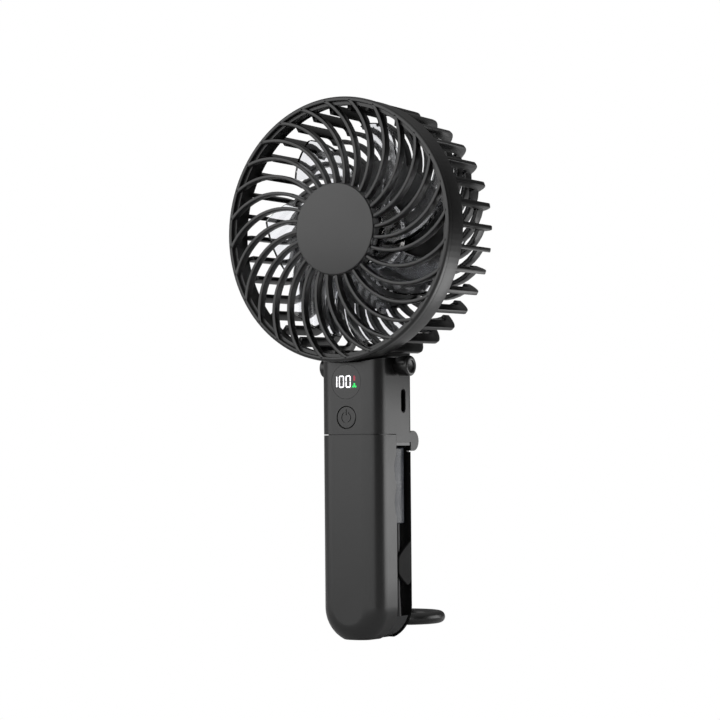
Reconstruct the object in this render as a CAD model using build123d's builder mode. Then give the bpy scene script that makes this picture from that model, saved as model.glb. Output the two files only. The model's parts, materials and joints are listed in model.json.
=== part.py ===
"""A rechargeable hand and desk fan: grilled head, tilting neck, handle, leg and stand ring.

Millimetres.  The origin is the middle of the handle's flat bottom, +Z is up, the fan
blows along -Y and +X is to the right of someone who faces the display.
"""

from build123d import *
from math import cos, radians, sin, sqrt
import os

# ---- Handle -------------------------------------------------------------------
handle_width = 27.0
handle_depth = 25.6
front_round = 7.0            # round of the front face's edge
rear_round = 2.5             # round of the rear face's edge
bottom_corner = 13.4         # round of the handle's bottom, seen from the front
foot_cut = 1.2               # height cut off the round bottom, which leaves a flat foot
wall = 1.6
front_seam_height = 77.5     # top of the lower front shell
side_seam_height = 74.4      # bottom edge of the upper shell, behind the front shell
seam_y = 0.9                 # plane where the front shell meets the core tray
leg_thickness = 1.6
form_top = 112.0             # the handle's form before the head's saddle is cut

# ---- Head ---------------------------------------------------------------------
head_radius = 50.0
head_centre_height = 154.6
head_front_y = -19.4         # plane of the grille's face
head_depth = 36.0
ring_face = 1.7              # width of the grille's outer ring
ring_edge_round = 1.0        # round of the ring's outer front edge
grille_ring_depth = 2.3
grille_skirt_depth = 3.0
front_rib_count = 28
front_rib_width = 1.35
front_rib_depth = 3.4
front_rib_sweep = 31.0       # turn of a front rib from the cap to the ring, in degrees
cap_radius = 17.4
cap_thickness = 1.3
collar_depth = 8.0           # smooth wall behind the grille's ring
rear_rib_count = 36
rear_rib_width = 1.7
rear_rib_radial = 3.9
rear_rib_depth = 4.5
rear_rib_sweep = 24.0
cage_taper = 0.8             # how much smaller the cage is at its back corner
rear_corner = 5.5
rear_inner_corner = 1.8      # round inside the ribs' back corner
rear_hub_radius = 29.0       # closed disc in the middle of the back
neck_panel_angle = 26.0      # degrees of the cage that are closed above the neck

# ---- Neck hinge ---------------------------------------------------------------
hinge_height = 103.2
hinge_y = 2.0
hinge_shaft_radius = 2.0
hinge_lug_radius = 4.6
hinge_lug_width = 17.0
knob_radius = 3.9
knob_reach = 6.4             # how far a knob stands out from the handle's side
tilt_limit = 20.0            # degrees the head tilts back
knob_neck = 1.6              # narrow part of a knob, next to the handle

# ---- Rotor and motor ----------------------------------------------------------
blade_count = 7
blade_tip_gap = 3.3          # from a blade's tip to the cage's ribs
blade_thickness = 1.3
rotor_hub_radius = 14.2
rotor_hub_wall = 1.5
bell_radius = 12.4
bell_wall = 0.9
magnet_thickness = 1.0
stator_radius = 10.1
stator_pole_count = 9
motor_shaft_radius = 1.5
bearing_radius = 3.5
bearing_width = 3.0
bearing_tube_wall = 1.1
motor_base_radius = 12.0
motor_base_thickness = 1.6
motor_air_gap = 0.4

# ---- Controls and electronics -------------------------------------------------
display_height = 97.3
display_radius = 6.5
display_thickness = 1.0
digit_height = 4.6
digit_width = 2.3
digit_stroke = 0.45
digit_depth = 0.4
digits_x = -2.1              # middle of the digits
marks_x = 3.7                # middle of the small lit marks
button_height = 83.8
button_radius = 4.1
button_travel = 0.4
button_thickness = 2.2
icon_radius = 2.0
icon_stroke = 0.45
icon_depth = 0.25
port_height = 90.1
port_y = 6.1
port_length = 9.1
port_width = 3.1
port_reach = 7.4
board_width = 17.0
board_thickness = 1.2
switch_body = 3.0
cell_radius = 9.1
cell_length = 58.0
cell_bottom = 10.0
contact_thickness = 0.4

# ---- Side channel, lead, leg and ring -----------------------------------------
channel_depth = 4.5
tray_wall = 1.2
corner_step = 0.8            # step in the rounded bottom below the channel
channel_bottom = 8.5         # shelf that the lead's gland stands on
plug_bottom = 43.5
plug_length = 28.8
plug_thickness = 3.4
plug_width = 6.6
plug_bulge = 1.2             # how far the finger grip's waves stand out
lead_radius = 1.3
gland_length = 7.0
leg_pivot_height = 74.9
leg_pivot_y = 13.0
leg_knuckle_radius = 3.6
leg_ear_radius = 3.86
leg_pin_radius = 1.0
leg_ear_width = 1.5
leg_pin_cover = 0.5          # wall outside the pin's blind ends
tab_height = 27.7
tab_length = 14.4
tab_thickness = 1.2
ring_height = 6.6
ring_outer_radius = 16.0
ring_tube_radius = 2.3
ring_centre_y = 26.6
ring_corner = 3.5
lug_lap = 0.6                # how deep a solid join reaches into its neighbour
ring_lug_width = 8.0
ring_lug_wall = 1.3

# ---- Fits ---------------------------------------------------------------------
gap = 0.1                    # between pieces that are assembled face to face
running_fit = 0.05           # radial, between a shaft and its bore
moving_gap = 0.35            # between pieces that move past each other
seam_gap = 0.3               # the shadow line between two visible shells

# ---- Places worked out from the sizes above -----------------------------------
half_width = handle_width / 2
rear_radius = head_radius - cage_taper
blade_tip_radius = rear_radius - rear_rib_radial - blade_tip_gap
knob_end_x = half_width + knob_reach
front_y = -handle_depth / 2
rear_y = handle_depth / 2
leg_front_y = rear_y - leg_thickness
tray_rear_y = leg_front_y - gap
channel_floor_x = half_width - channel_depth
cavity_right_x = channel_floor_x - tray_wall
cell_x = (wall - half_width + cavity_right_x) / 2
cell_y = (front_y + wall + tray_rear_y - tray_wall) / 2
grille_back_y = head_front_y + grille_ring_depth
collar_front_y = grille_back_y + seam_gap
collar_back_y = collar_front_y + collar_depth
head_rear_y = head_front_y + head_depth
rear_rib_front_y = head_rear_y - rear_rib_depth
skirt_radius = head_radius - ring_face - gap
head_centre = (0, 0, head_centre_height)

os.makedirs("parts", exist_ok=True)


def save(part, name):
    """Labels a finished piece and writes its STEP file."""
    part.label = name
    export_step(part, f"parts/{name}.step")


def front_plane(y):
    """A drawing plane that faces the front at depth y: local x is X and local y is Z."""
    return Plane(origin=(0, y, 0), x_dir=(1, 0, 0), z_dir=(0, -1, 0))


def head_plane(y):
    """The front plane at depth y, with its origin on the head's axis."""
    return Plane(origin=(0, y, head_centre_height), x_dir=(1, 0, 0), z_dir=(0, -1, 0))


def side_plane(x):
    """A drawing plane that faces +X at place x: local x is Y and local y is Z."""
    return Plane(origin=(x, 0, 0), x_dir=(0, 1, 0), z_dir=(1, 0, 0))


def handle_form(inset):
    """The handle's rounded form, shrunk by inset on every side but the top."""
    with BuildPart() as form:
        with BuildSketch(front_plane(0)) as outline:
            with Locations((0, inset - foot_cut)):
                Rectangle(handle_width - 2 * inset, form_top + foot_cut - inset,
                          align=(Align.CENTER, Align.MIN))
            fillet(outline.vertices().group_by(Axis.Y)[0], bottom_corner - inset)
        extrude(amount=handle_depth / 2 - inset, both=True)
        front_edges = form.faces().sort_by(Axis.Y)[0].edges().sort_by(Axis.Z)[:-1]
        fillet(front_edges, front_round - inset)
        rear_edges = form.faces().sort_by(Axis.Y)[-1].edges().sort_by(Axis.Z)[:-1]
        fillet(rear_edges, rear_round - min(inset, rear_round - 0.5))
        split(bisect_by=Plane.XY.offset(inset))
    return form.part


def slab(x_range, y_range, z_range):
    """A plain block between two limits on each axis."""
    with BuildPart() as block:
        with BuildSketch(Plane.XY.offset(z_range[0])):
            with Locations(((x_range[0] + x_range[1]) / 2, (y_range[0] + y_range[1]) / 2)):
                Rectangle(x_range[1] - x_range[0], y_range[1] - y_range[0])
        extrude(amount=z_range[1] - z_range[0])
    return block.part


def rod(radius, x_range, y, z):
    """A round bar along X."""
    with BuildPart() as bar:
        with BuildSketch(side_plane(x_range[0])):
            with Locations((y, z)):
                Circle(radius)
        extrude(amount=x_range[1] - x_range[0])
    return bar.part


def head_disc(radius, y_range, bore=0.0):
    """A disc or a tube about the head's axis, between two depths."""
    with BuildPart() as disc:
        with BuildSketch(head_plane(y_range[1])):
            Circle(radius)
            if bore > 0:
                Circle(bore, mode=Mode.SUBTRACT)
        extrude(amount=y_range[1] - y_range[0])
    return disc.part


def swept_rib(inner, outer, sweep, width, y_range):
    """One rib that curves about the head's axis as it runs out, between two depths."""
    middle = (inner + outer) / 2
    with BuildPart() as rib:
        with BuildSketch(head_plane(y_range[1])):
            with BuildLine() as line:
                ThreePointArc(
                    (inner, 0),
                    (middle * cos(radians(sweep * 0.36)), middle * sin(radians(sweep * 0.36))),
                    (outer * cos(radians(sweep)), outer * sin(radians(sweep))))
            trace(line.line, line_width=width)
        extrude(amount=y_range[1] - y_range[0])
    return rib.part


def head_copies(piece, count, first=0.0):
    """Copies of a piece, evenly turned about the head's axis."""
    turn_axis = Axis(head_centre, (0, -1, 0))
    return [piece.rotate(turn_axis, first + 360 / count * index) for index in range(count)]


outer_form = handle_form(0)
inner_form = handle_form(wall)

# ==== Head: front grille and its cap =============================================
cap_seat_y = head_front_y + 0.5
cap_pocket_radius = cap_radius + gap
front_rib = swept_rib(cap_radius - 1.5, head_radius - ring_face * 0.7, front_rib_sweep,
                      front_rib_width, (head_front_y, head_front_y + front_rib_depth))
with BuildPart() as front_grille:
    with BuildSketch(head_plane(grille_back_y)):
        Circle(head_radius)
        Circle(head_radius - ring_face, mode=Mode.SUBTRACT)
    extrude(amount=grille_ring_depth)
    front_rims = front_grille.edges().filter_by(GeomType.CIRCLE).group_by(Axis.Y)[0]
    fillet(front_rims.sort_by(SortBy.RADIUS)[-1], ring_edge_round)
    with BuildSketch(head_plane(grille_back_y + grille_skirt_depth)):
        Circle(skirt_radius)
        Circle(skirt_radius - 1.2, mode=Mode.SUBTRACT)
    extrude(amount=grille_skirt_depth + 0.8)
    add(head_copies(front_rib, front_rib_count))
    add(head_disc(cap_radius - 1.0, (head_front_y, head_front_y + front_rib_depth)))
    with BuildSketch(head_plane(cap_seat_y)):
        Circle(cap_pocket_radius)
    extrude(amount=cap_thickness + 1, mode=Mode.SUBTRACT)
    with BuildSketch(head_plane(grille_back_y)):
        Circle(head_radius + 1)
        Circle(skirt_radius, mode=Mode.SUBTRACT)
    extrude(amount=-front_rib_depth, mode=Mode.SUBTRACT)
save(front_grille.part, "front_grille")

with BuildPart() as hub_cap:
    with BuildSketch(head_plane(cap_seat_y)):
        Circle(cap_radius)
    extrude(amount=cap_thickness)
    fillet(hub_cap.edges().group_by(Axis.Y)[0], 0.3)
save(hub_cap.part, "hub_cap")

# ==== Head: rear cage with the neck's lug ========================================
side_rib_inner = rear_radius - rear_rib_radial - 3.0
rib_sketch_plane = Plane(origin=head_centre, x_dir=(1, 0, 0), z_dir=(0, 0, 1))


def cage_profile(radial, depth, sunk=0.0):
    """The cage's L-shaped wall, out along a side and in over the back, sunk below its surface."""
    with BuildSketch(rib_sketch_plane) as profile:
        with BuildLine():
            Polyline(
                (head_radius - 0.3 - sunk, collar_back_y - 0.5),
                (rear_radius - sunk, head_rear_y - sunk),
                (side_rib_inner, head_rear_y - sunk),
                (side_rib_inner, head_rear_y - depth),
                (rear_radius - radial, head_rear_y - depth),
                (head_radius - 0.3 - radial, collar_back_y - 0.5),
                close=True)
        make_face()
        inner_corner = (rear_radius - radial, head_rear_y - depth, head_centre_height)
        fillet(profile.vertices().sort_by_distance(inner_corner)[0], rear_inner_corner)
        corner = (rear_radius, head_rear_y, head_centre_height)
        fillet(profile.vertices().sort_by_distance(corner)[0], rear_corner)
    return profile.sketch


with BuildPart() as neck_panel:
    add(cage_profile(2.1, 2.1, sunk=0.4))
    revolve(axis=Axis(head_centre, (0, -1, 0)), revolution_arc=neck_panel_angle)
neck_panel_part = neck_panel.part.rotate(Axis(head_centre, (0, -1, 0)), -90 - neck_panel_angle / 2)

with BuildPart() as cage_side_rib:
    add(cage_profile(rear_rib_radial, rear_rib_depth))
    extrude(amount=rear_rib_width / 2, both=True)

rear_rib = swept_rib(rear_hub_radius - 1, side_rib_inner + 1.2, rear_rib_sweep, rear_rib_width,
                     (rear_rib_front_y, head_rear_y))
washer_radius = hinge_shaft_radius + 1
lug_top = head_centre_height - rear_radius + lug_lap
motor_screw_circle = 9.0
with BuildPart() as rear_cage:
    with BuildSketch(head_plane(collar_back_y)):
        Circle(head_radius - 0.2)
        Circle(skirt_radius + gap, mode=Mode.SUBTRACT)
    extrude(amount=collar_depth)
    add(head_copies(cage_side_rib.part, rear_rib_count))
    add(head_copies(rear_rib, rear_rib_count, first=-rear_rib_sweep))
    add(head_disc(rear_hub_radius, (rear_rib_front_y, head_rear_y)))
    add(neck_panel_part)
    add(slab((-hinge_lug_width / 2, hinge_lug_width / 2),
             (hinge_y - hinge_lug_radius, hinge_y + hinge_lug_radius), (hinge_height, lug_top)))
    add(rod(hinge_lug_radius, (-hinge_lug_width / 2, hinge_lug_width / 2), hinge_y, hinge_height))
    for side in (-1, 1):
        ends = sorted((side * hinge_lug_width / 2, side * half_width))
        add(rod(washer_radius + moving_gap, ends, hinge_y, hinge_height), mode=Mode.SUBTRACT)
    add(rod(hinge_shaft_radius + running_fit, (-hinge_lug_width, hinge_lug_width),
            hinge_y, hinge_height), mode=Mode.SUBTRACT)
    with BuildSketch(head_plane(head_rear_y)):
        with PolarLocations(motor_screw_circle, 3, start_angle=90):
            Circle(1.05)
    extrude(amount=rear_rib_depth, mode=Mode.SUBTRACT)
    with BuildSketch(head_plane(head_rear_y)):
        with PolarLocations(motor_screw_circle, 3, start_angle=90):
            Circle(2.05)
    extrude(amount=1.3, mode=Mode.SUBTRACT)
save(rear_cage.part, "rear_cage")

# ==== Head: motor ================================================================
motor_base_front_y = rear_rib_front_y - motor_base_thickness
tube_front_y = motor_base_front_y - 15.0
tube_radius = bearing_radius + bearing_tube_wall
with BuildPart() as motor_base:
    add(head_disc(motor_base_radius, (motor_base_front_y, rear_rib_front_y)))
    add(head_disc(tube_radius, (tube_front_y, rear_rib_front_y)))
    add(head_disc(bearing_radius, (tube_front_y, motor_base_front_y - 0.4)), mode=Mode.SUBTRACT)
    with BuildSketch(head_plane(rear_rib_front_y)):
        with PolarLocations(motor_screw_circle, 3, start_angle=90):
            Circle(1.0)
    extrude(amount=motor_base_thickness, mode=Mode.SUBTRACT)
save(motor_base.part, "motor_base")

with BuildPart() as motor_screw:
    add(head_disc(2.0, (head_rear_y - 1.3, head_rear_y - 0.2)))
    add(head_disc(1.0, (motor_base_front_y + 0.1, head_rear_y - 1.2)))
    with BuildSketch(head_plane(head_rear_y - 0.2)):
        Rectangle(2.6, 0.5)
        Rectangle(0.5, 2.6)
    extrude(amount=0.6, mode=Mode.SUBTRACT)
with BuildPart() as motor_screws:
    with Locations([Location((motor_screw_circle * cos(radians(a)), 0,
                              motor_screw_circle * sin(radians(a)))) for a in (90, 210, 330)]):
        add(motor_screw.part)
save(motor_screws.part, "motor_screws")

rear_bearing_y = motor_base_front_y - 0.4 - bearing_width
front_bearing_y = tube_front_y
for name, start in (("motor_bearing_rear", rear_bearing_y), ("motor_bearing_front", front_bearing_y)):
    save(head_disc(bearing_radius, (start, start + bearing_width),
                   bore=motor_shaft_radius + running_fit), name)

stator_back_y = motor_base_front_y - 1.6
stator_front_y = tube_front_y + 2.4
with BuildPart() as stator_core:
    with BuildSketch(head_plane(stator_back_y)):
        Circle(tube_radius + 1.6)
        with PolarLocations(0, stator_pole_count):
            with Locations((stator_radius / 2 + 2.0, 0)):
                Rectangle(stator_radius - 4.0, 1.8)
            with Locations((stator_radius - 0.7, 0)):
                Rectangle(1.3, 5.0)
        Circle(tube_radius, mode=Mode.SUBTRACT)
    extrude(amount=stator_back_y - stator_front_y)
save(stator_core.part, "stator_core")

with BuildPart() as stator_windings:
    with BuildSketch(head_plane(stator_back_y + 0.9)):
        with PolarLocations(tube_radius + 2.65, stator_pole_count):
            Rectangle(1.9, 3.2)
    extrude(amount=stator_back_y - stator_front_y + 1.8)
    add(stator_core.part, mode=Mode.SUBTRACT)
save(stator_windings.part, "stator_windings")

magnet_radius = stator_radius + motor_air_gap + magnet_thickness
bell_front_y = tube_front_y - 1.6
bell_back_y = stator_back_y
with BuildPart() as motor_bell:
    add(head_disc(bell_radius, (bell_front_y, bell_back_y)))
    add(head_disc(bell_radius - bell_wall, (bell_front_y + 1.0, bell_back_y)), mode=Mode.SUBTRACT)
    add(head_disc(motor_shaft_radius, (bell_front_y - 1, bell_back_y)), mode=Mode.SUBTRACT)
save(motor_bell.part, "motor_bell")
save(head_disc(bell_radius - bell_wall, (bell_front_y + 1.6, bell_back_y),
               bore=magnet_radius - magnet_thickness), "magnet_ring")
shaft_front_y = bell_front_y - 5.2
save(head_disc(motor_shaft_radius, (shaft_front_y, motor_base_front_y - 0.6)), "motor_shaft")

# ==== Head: rotor ================================================================
hub_front_y = bell_front_y - rotor_hub_wall - 0.1
hub_back_y = bell_back_y - 1.0


def blade_section(radius, swirl, chord, pitch):
    """A blade's section across the radius, turned by swirl about the head's axis."""
    place = (radius * cos(radians(swirl)), 0, radius * sin(radians(swirl)))
    outward = (cos(radians(swirl)), 0, sin(radians(swirl)))
    across = (-sin(radians(swirl)) * cos(radians(pitch)), sin(radians(pitch)),
              cos(radians(swirl)) * cos(radians(pitch)))
    origin = (place[0], (hub_front_y + hub_back_y) / 2, place[2] + head_centre_height)
    with BuildSketch(Plane(origin=origin, x_dir=across, z_dir=outward)) as section:
        Rectangle(chord, blade_thickness)
    return section.sketch


blade_sections = [
    blade_section(rotor_hub_radius - 1.0, 0, 17.0, 52),
    blade_section(24.0, 9, 20.0, 42),
    blade_section(34.0, 21, 22.0, 34),
    blade_section(blade_tip_radius + 2.0, 36, 23.0, 28),
]
with BuildPart() as blade:
    loft(sections=[section.face() for section in blade_sections])
    add(head_disc(blade_tip_radius, (hub_front_y - 12, hub_back_y + 12)), mode=Mode.INTERSECT)

with BuildPart() as fan_rotor:
    add(head_disc(rotor_hub_radius, (hub_front_y, hub_back_y)))
    fillet(fan_rotor.edges().group_by(Axis.Y)[0], 1.2)
    add(head_copies(blade.part, blade_count))
    add(head_disc(bell_radius + gap, (bell_front_y - gap, hub_back_y + 20)), mode=Mode.SUBTRACT)
    add(head_disc(motor_shaft_radius, (hub_front_y - 5, hub_back_y)), mode=Mode.SUBTRACT)
save(fan_rotor.part, "fan_rotor")

with BuildPart() as rotor_nut:
    with BuildSketch(head_plane(hub_front_y)):
        RegularPolygon(2.9, 6)
        Circle(motor_shaft_radius, mode=Mode.SUBTRACT)
    extrude(amount=2.2)
save(rotor_nut.part, "rotor_nut")

# ==== Neck hinge =================================================================
cheek_x = hinge_lug_width / 2 + 0.7
shaft_end_x = knob_end_x - 2.0
save(rod(hinge_shaft_radius, (-shaft_end_x, shaft_end_x), hinge_y, hinge_height), "hinge_shaft")
with BuildPart() as hinge_knob:
    add(rod(knob_radius - 0.5, (half_width + gap, half_width + knob_neck), hinge_y, hinge_height))
    add(rod(knob_radius, (half_width + knob_neck, knob_end_x), hinge_y, hinge_height))
    outer_rim = hinge_knob.edges().filter_by(GeomType.CIRCLE).sort_by(Axis.X)[-1]
    fillet(outer_rim, 0.9)
    add(rod(knob_radius - 1.7, (knob_end_x - 0.6, knob_end_x), hinge_y, hinge_height),
        mode=Mode.SUBTRACT)
    add(rod(hinge_shaft_radius, (0, shaft_end_x), hinge_y, hinge_height), mode=Mode.SUBTRACT)
save(hinge_knob.part, "hinge_knob_right")
save(mirror(hinge_knob.part, about=Plane.YZ), "hinge_knob_left")
with BuildPart() as neck_washers:
    for side in (-1, 1):
        inner = side * (hinge_lug_width / 2 + 0.05)
        outer = side * (cheek_x - 0.05)
        add(rod(washer_radius, sorted((inner, outer)), hinge_y, hinge_height))
    add(rod(hinge_shaft_radius + running_fit, (-half_width, half_width), hinge_y, hinge_height),
        mode=Mode.SUBTRACT)
save(neck_washers.part, "neck_washers")

# ==== Handle: upper shell ========================================================
block_bottom = 95.5
display_cavity_top = 102.3
hinge_pocket_radius = hinge_lug_radius + moving_gap
leg_groove_radius = leg_knuckle_radius + moving_gap
leg_block_depth = 5.2
leg_ear_x = half_width - leg_ear_width
leg_pin_end = half_width - leg_pin_cover
far = 200.0

with BuildPart() as head_envelope:
    with BuildSketch(rib_sketch_plane):
        with BuildLine():
            Polyline(
                (0, head_front_y - 3),
                (head_radius + moving_gap, head_front_y - 3),
                (head_radius + moving_gap, collar_back_y),
                (rear_radius + moving_gap, head_rear_y - rear_corner + 1),
                (rear_radius + moving_gap - rear_corner / 2, head_rear_y + moving_gap),
                (0, head_rear_y + moving_gap),
                close=True)
        make_face()
    revolve(axis=Axis(head_centre, (0, 1, 0)))
hinge_axis = Axis((0, hinge_y, hinge_height), (1, 0, 0))
tilt_steps = 6
lug_way = slab((-cheek_x, cheek_x), (hinge_y - hinge_pocket_radius, hinge_y + hinge_pocket_radius),
               (hinge_height, form_top))

with BuildPart() as upper_shell:
    add(outer_form)
    add(slab((-far, far), (-far, seam_y), (-1, front_seam_height)), mode=Mode.SUBTRACT)
    add(slab((-far, far), (seam_y - 1, far), (-1, side_seam_height)), mode=Mode.SUBTRACT)
    add(inner_form & slab((-far, far), (-far, rear_y - leg_block_depth), (0, block_bottom)),
        mode=Mode.SUBTRACT)
    add(inner_form & slab((-far, far), (0, far), (leg_pivot_height + 6, block_bottom)),
        mode=Mode.SUBTRACT)
    add(slab((-cheek_x, cheek_x), (front_y + wall, hinge_y - hinge_pocket_radius - 1.8),
             (block_bottom - 5, display_cavity_top)), mode=Mode.SUBTRACT)
    add(rod(hinge_pocket_radius, (-cheek_x, cheek_x), hinge_y, hinge_height), mode=Mode.SUBTRACT)
    for step in range(tilt_steps):
        tilt = -tilt_limit * step / (tilt_steps - 1)
        add(head_envelope.part.rotate(hinge_axis, tilt), mode=Mode.SUBTRACT)
        add(lug_way.rotate(hinge_axis, tilt), mode=Mode.SUBTRACT)
    add(rod(hinge_shaft_radius, (-far, far), hinge_y, hinge_height), mode=Mode.SUBTRACT)
    # the leg's ears, cleared for the tray in front of them
    for side in (-1, 1):
        ends = sorted((side * leg_ear_x, side * half_width))
        add(rod(leg_ear_radius, ends, leg_pivot_y, leg_pivot_height)
            - slab((-far, far), (-far, leg_front_y), (-far, side_seam_height)))
    add(rod(leg_groove_radius, (-leg_ear_x, leg_ear_x), leg_pivot_y, leg_pivot_height),
        mode=Mode.SUBTRACT)
    add(rod(leg_pin_radius, (-leg_pin_end, leg_pin_end), leg_pivot_y, leg_pivot_height),
        mode=Mode.SUBTRACT)
    # display seat, button hole and charging port
    with BuildSketch(front_plane(front_y)):
        with Locations((0, display_height)):
            Circle(display_radius + gap)
    extrude(amount=-display_thickness, mode=Mode.SUBTRACT)
    with BuildSketch(front_plane(front_y)):
        with Locations((0, button_height)):
            Circle(button_radius + seam_gap)
    extrude(amount=-wall - 1, mode=Mode.SUBTRACT)
    with BuildSketch(side_plane(half_width)):
        with Locations((port_y, port_height)):
            SlotOverall(port_length + 2 * gap, port_width + 2 * gap, rotation=90)
    extrude(amount=-wall - 1, mode=Mode.SUBTRACT)
save(upper_shell.part, "upper_shell")

# ==== Handle: display, button, port and electronics ==============================
SEGMENTS = {"0": "abcdef", "1": "bc"}
SEGMENT_PLACES = {
    "a": (0, 1, 0), "b": (0.5, 0.5, 90), "c": (0.5, -0.5, 90),
    "d": (0, -1, 0), "e": (-0.5, -0.5, 90), "f": (-0.5, 0.5, 90),
}
digit_pitch = digit_width + 0.75
display_text = "100"
segment_across = digit_width - digit_stroke
segment_up = (digit_height - digit_stroke) / 2


def digit_segments(text, x, z):
    """Seven-segment digits in the local plane, centred on x and z."""
    for place, digit in enumerate(text):
        centre_x = x + (place - (len(text) - 1) / 2) * digit_pitch
        for segment in SEGMENTS[digit]:
            across, up, turn = SEGMENT_PLACES[segment]
            length = (segment_up if turn else segment_across) - digit_stroke * 0.3
            with Locations((centre_x + across * segment_across, z + up * segment_up)):
                SlotOverall(length, digit_stroke, rotation=turn)


with BuildPart() as display_digits:
    with BuildSketch(front_plane(front_y + digit_depth)):
        digit_segments(display_text, digits_x, display_height)
    extrude(amount=digit_depth)
save(display_digits.part, "display_digits")
with BuildPart() as battery_mark:
    with BuildSketch(front_plane(front_y + digit_depth)):
        with Locations((marks_x, display_height + 1.2)):
            Rectangle(0.8, 1.9)
    extrude(amount=digit_depth)
save(battery_mark.part, "battery_mark")
with BuildPart() as speed_mark:
    with BuildSketch(front_plane(front_y + digit_depth)):
        with Locations((marks_x, display_height - 1.6)):
            Circle(0.35)
            with PolarLocations(0.62, 3, start_angle=90):
                Circle(0.42)
    extrude(amount=digit_depth)
save(speed_mark.part, "speed_mark")
with BuildPart() as display_window:
    with BuildSketch(front_plane(front_y + display_thickness)):
        with Locations((0, display_height)):
            Circle(display_radius)
    extrude(amount=display_thickness)
    for lit in (display_digits, battery_mark, speed_mark):
        add(lit.part, mode=Mode.SUBTRACT)
save(display_window.part, "display_window")

flange_y = front_y + wall + running_fit
with BuildPart() as power_button:
    with BuildSketch(front_plane(front_y + button_thickness)):
        with Locations((0, button_height)):
            Circle(button_radius)
    extrude(amount=button_thickness)
    fillet(power_button.edges().group_by(Axis.Y)[0], 0.25)
    with BuildSketch(front_plane(front_y + button_thickness)):
        with Locations((0, button_height)):
            Circle(button_radius + 1.0)
    extrude(amount=front_y + button_thickness - flange_y)
    with BuildSketch(front_plane(front_y)) as icon:
        with Locations((0, button_height)):
            Circle(icon_radius + icon_stroke / 2)
            Circle(icon_radius - icon_stroke / 2, mode=Mode.SUBTRACT)
        with Locations((0, button_height + icon_radius)):
            Rectangle(icon_stroke * 4, icon_radius, mode=Mode.SUBTRACT)
            SlotOverall(icon_radius * 1.15, icon_stroke, rotation=90)
    extrude(amount=-icon_depth, mode=Mode.SUBTRACT)
save(power_button.part, "power_button")

board_front_y = front_y + button_thickness + button_travel + 2.2
with BuildPart() as control_board:
    add(slab((-board_width / 2, board_width / 2), (board_front_y, board_front_y + board_thickness),
             (front_seam_height + 2, block_bottom - 0.5)))
save(control_board.part, "control_board")
with BuildPart() as button_switch:
    add(slab((-switch_body, switch_body), (board_front_y - 1.5, board_front_y),
             (button_height - switch_body, button_height + switch_body)))
    with BuildSketch(front_plane(board_front_y - 1.5)):
        with Locations((0, button_height)):
            Circle(1.6)
    extrude(amount=0.6)
save(button_switch.part, "button_switch")

with BuildPart() as usb_port:
    with BuildSketch(side_plane(half_width - 0.3)):
        with Locations((port_y, port_height)):
            SlotOverall(port_length, port_width, rotation=90)
    extrude(amount=-port_reach)
    with BuildSketch(side_plane(half_width - 0.3)):
        with Locations((port_y, port_height)):
            SlotOverall(port_length - 0.6, port_width - 0.6, rotation=90)
    extrude(amount=-port_reach + 1.0, mode=Mode.SUBTRACT)
    with BuildSketch(side_plane(half_width - 0.3 - port_reach + 0.9)):
        with Locations((port_y, port_height)):
            Rectangle(0.7, port_length - 2.6)
    extrude(amount=port_reach - 1.9)
save(usb_port.part, "usb_port")

with BuildPart() as battery_cell:
    with BuildSketch(Plane.XY.offset(cell_bottom)):
        with Locations((cell_x, cell_y)):
            Circle(cell_radius)
    extrude(amount=cell_length)
    fillet(battery_cell.edges(), 0.8)
save(battery_cell.part, "battery_cell")
with BuildPart() as cell_contacts:
    for bottom in (cell_bottom - contact_thickness, cell_bottom + cell_length):
        add(slab((cell_x - 3, cell_x + 3), (cell_y - 3, cell_y + 3),
                 (bottom, bottom + contact_thickness)))
save(cell_contacts.part, "cell_contacts")

# ==== Handle: lower front shell and core tray ====================================
with BuildPart() as cell_room:
    with BuildSketch(Plane.XY.offset(cell_bottom - 1)):
        with Locations((cell_x, cell_y)):
            Circle(cell_radius + gap)
    extrude(amount=cell_length + 2)
lip_depth = 0.8
lip_height = 1.0
front_half = slab((-far, far), (-far, seam_y - gap), (-1, front_seam_height - seam_gap))
lip_foot = (inner_form - handle_form(wall + gap + lip_depth)) & slab(
    (-far, far), (-far, seam_y - gap), (front_seam_height - 3, front_seam_height - seam_gap))
lip_blade = (handle_form(wall + gap) - handle_form(wall + gap + lip_depth)) & slab(
    (-far, far), (-far, seam_y - gap), (front_seam_height - 3, front_seam_height + lip_height))
front_half_form = outer_form & front_half
plug_front_y = seam_y + 0.3
plug_centres = (plug_bottom + plug_length * 0.28, plug_bottom + plug_length * 0.72)
scallop_reach = plug_bulge + 0.4
with BuildPart() as lower_front_shell:
    add(front_half_form)
    add(inner_form, mode=Mode.SUBTRACT)
    add(lip_foot)
    add(lip_blade)
    add(cell_room.part, mode=Mode.SUBTRACT)
    with BuildSketch(side_plane(half_width - wall - 1)):
        for centre in plug_centres:
            with Locations((seam_y + 1.2, centre)):
                Ellipse(1.2 + scallop_reach, 6.0)
    extrude(amount=wall + 2, mode=Mode.SUBTRACT)
save(lower_front_shell.part, "lower_front_shell")

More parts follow.
